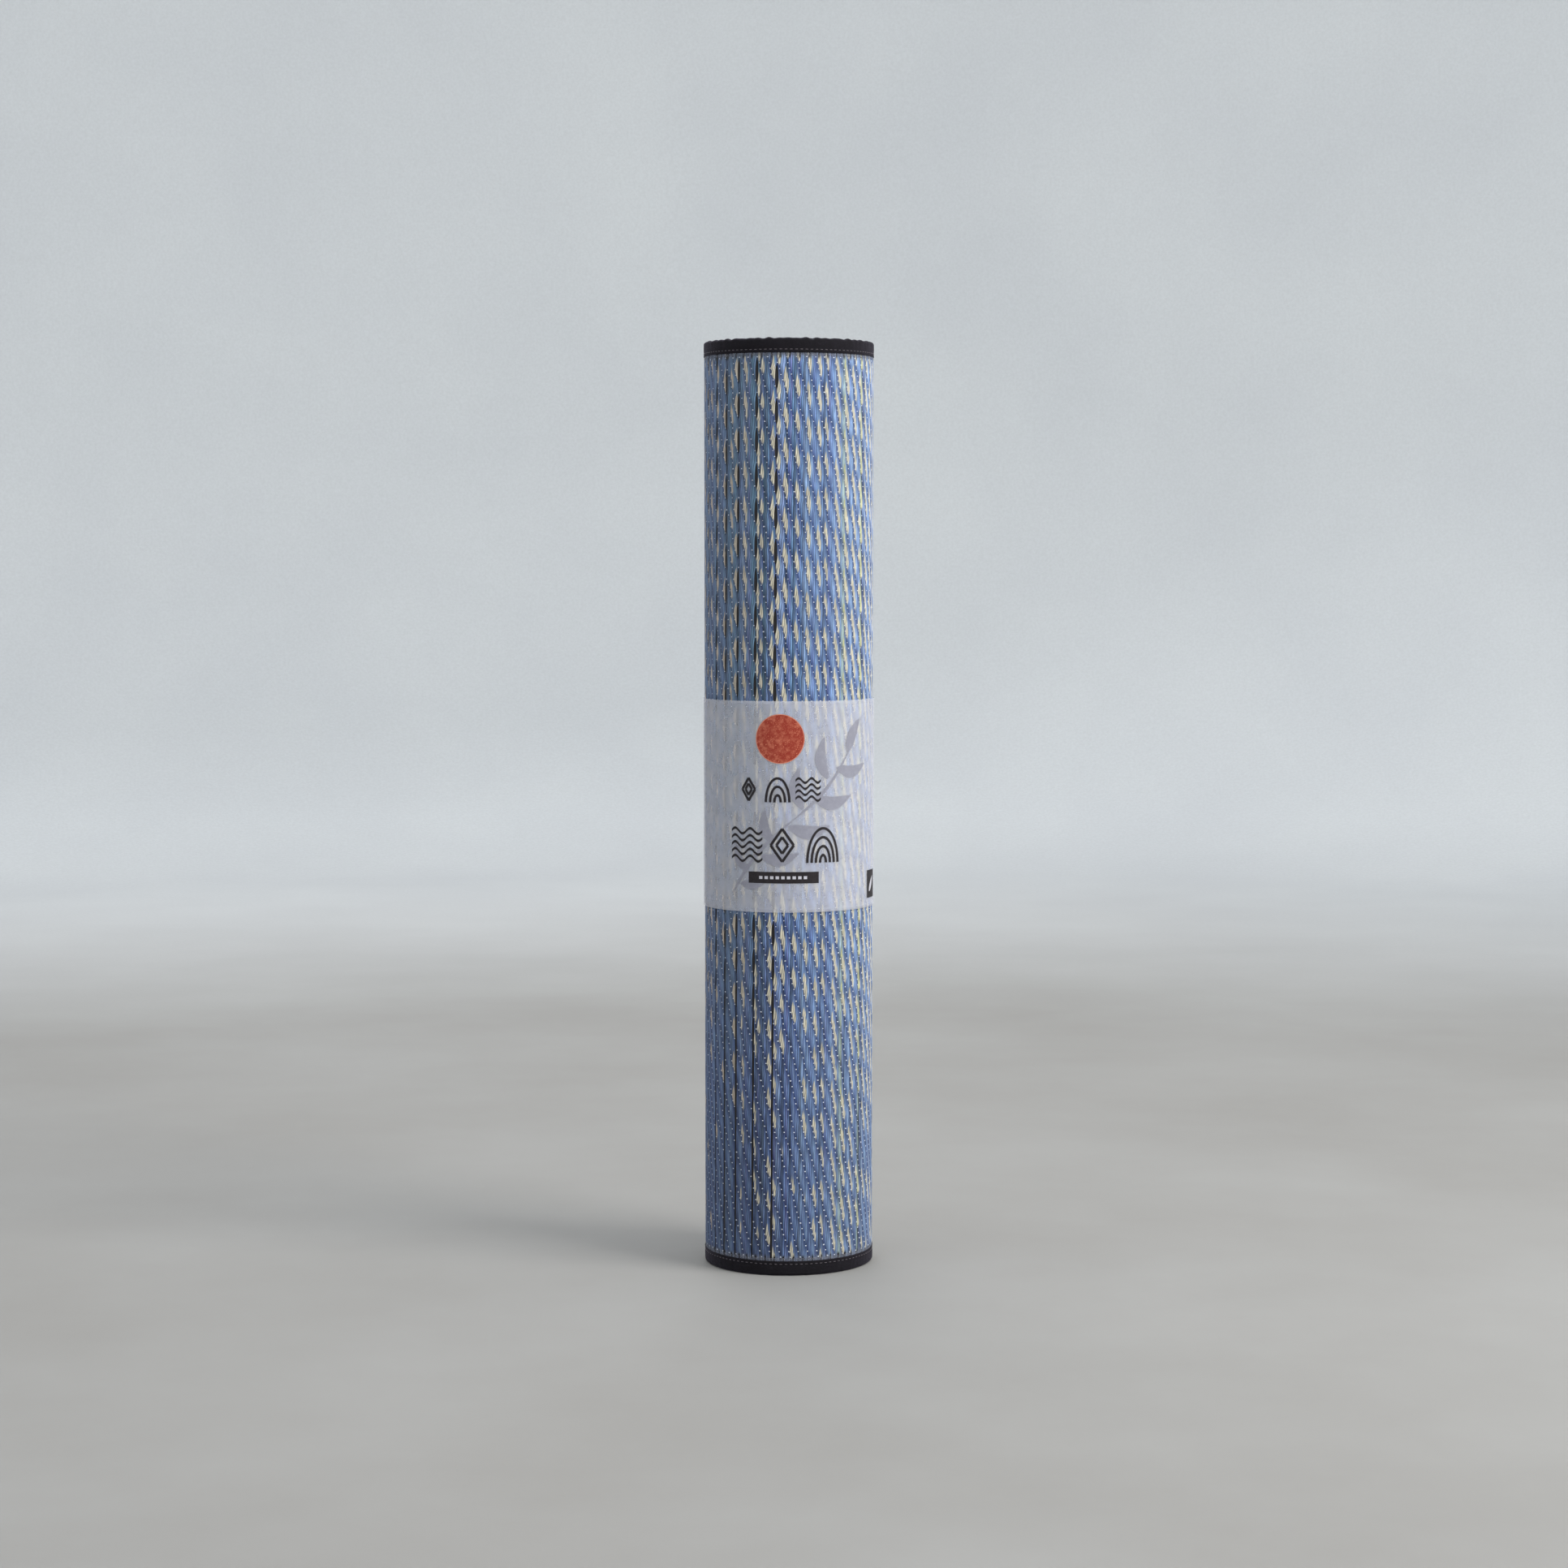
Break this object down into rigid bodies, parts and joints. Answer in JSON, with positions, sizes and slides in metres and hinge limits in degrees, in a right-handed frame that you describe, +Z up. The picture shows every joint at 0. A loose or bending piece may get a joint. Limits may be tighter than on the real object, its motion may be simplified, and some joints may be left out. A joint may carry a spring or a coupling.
{
  "type": "rolled rush mat",
  "caption": "Woven rush exercise mat rolled up and standing on end, long edges bound in black cloth, held by a translucent paper sleeve that slides off along the roll.",
  "frame": {"origin": "middle of the roll's footprint, on the surface it stands on", "axes": "+Z up along the roll; +Y towards the back, where the mat's outer short end and the sleeve's overlap are"},
  "size_m": [0.111, 0.1134, 0.6],
  "materials": {
    "rush": "satin",
    "warp_cotton": "matte",
    "foam": "matte",
    "backing_cloth": "matte",
    "edge_tape": "satin",
    "binding_cloth": "matte",
    "seam_thread": "satin",
    "sleeve_paper": "matte",
    "adhesive": "satin"
  },
  "bodies": {
    "roll": {"rush_face": "rush", "warp_threads": "warp_cotton", "foam_core": "foam", "nonslip_backing": "backing_cloth", "top_edge_tape": "edge_tape", "bottom_edge_tape": "edge_tape", "top_binding": "binding_cloth", "bottom_binding": "binding_cloth", "outer_end_binding": "binding_cloth", "inner_end_binding": "binding_cloth", "top_binding_needle_thread": "seam_thread", "top_binding_bobbin_thread": "seam_thread", "bottom_binding_needle_thread": "seam_thread", "bottom_binding_bobbin_thread": "seam_thread", "outer_end_needle_thread": "seam_thread", "outer_end_bobbin_thread": "seam_thread", "inner_end_needle_thread": "seam_thread", "inner_end_bobbin_thread": "seam_thread"},
    "sleeve": {"paper_sleeve": "sleeve_paper", "sleeve_glue_strip": "adhesive"}
  },
  "joints": [
    {"name": "sleeve_slide", "type": "slide", "parent": "roll", "child": "sleeve", "axis": [0, 0, 1], "range_m": [-0.234, 0.365]}
  ]
}
